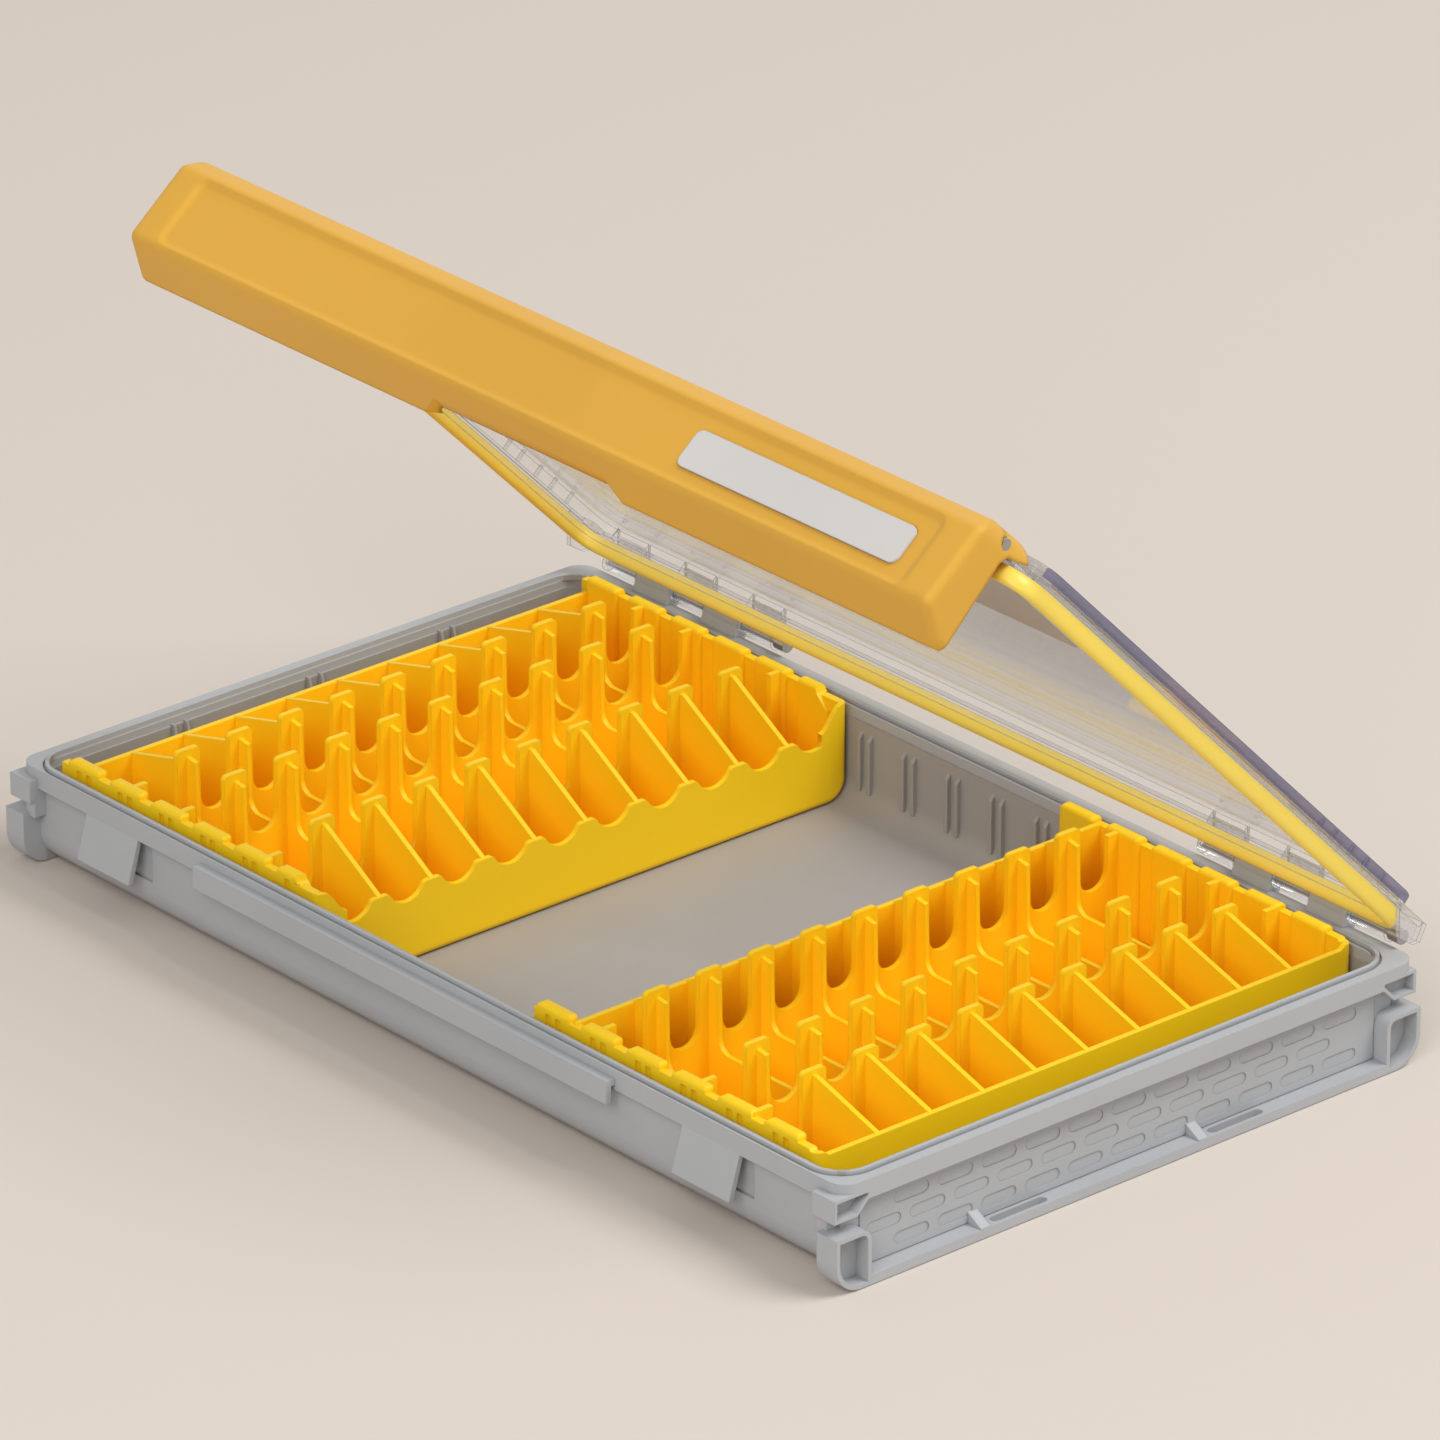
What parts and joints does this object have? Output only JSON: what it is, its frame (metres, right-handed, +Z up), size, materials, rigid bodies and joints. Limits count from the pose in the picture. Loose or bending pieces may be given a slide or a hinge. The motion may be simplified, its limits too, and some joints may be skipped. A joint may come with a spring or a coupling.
{
  "type": "jerkbait box",
  "caption": "Shallow tackle case with comb racks for long lures, a clear hinged lid and a full-width latch.",
  "frame": {"origin": "middle of the flat underside of the tub", "axes": "+X along the hinge, -Y towards the latch, +Z up; the lid stands open at rest"},
  "size_m": [0.359, 0.2215, 0.2029],
  "materials": {
    "tub": "fine satin, moulded grey",
    "rack": "satin, moulded yellow",
    "pin": "drawn wire",
    "clear": "clear, polished",
    "seal": "soft, slightly glossy yellow",
    "plate": "satin grey",
    "latch": "satin mustard yellow",
    "label": "matt, pale"
  },
  "bodies": {
    "base": {"base_tub": "tub", "rack_left": "rack", "rack_right": "rack", "hinge_pin_left": "pin", "hinge_pin_right": "pin"},
    "lid": {"lid_panel": "clear", "lid_seal": "seal", "moisture_plate": "plate", "latch_pin_left": "pin", "latch_pin_right": "pin"},
    "latch": {"latch_bar": "latch", "label_plate": "label"}
  },
  "joints": [
    {"name": "lid_hinge", "type": "hinge", "parent": "base", "child": "lid", "pos_m": [0, 0.1093, 0.0342], "axis": [-1, 0, 0], "range_deg": [-45.4, 60]},
    {"name": "latch_hinge", "type": "hinge", "parent": "lid", "child": "latch", "pos_m": [0, -0.03892, 0.19533], "axis": [-1, 0, 0], "range_deg": [-6, 12]}
  ]
}
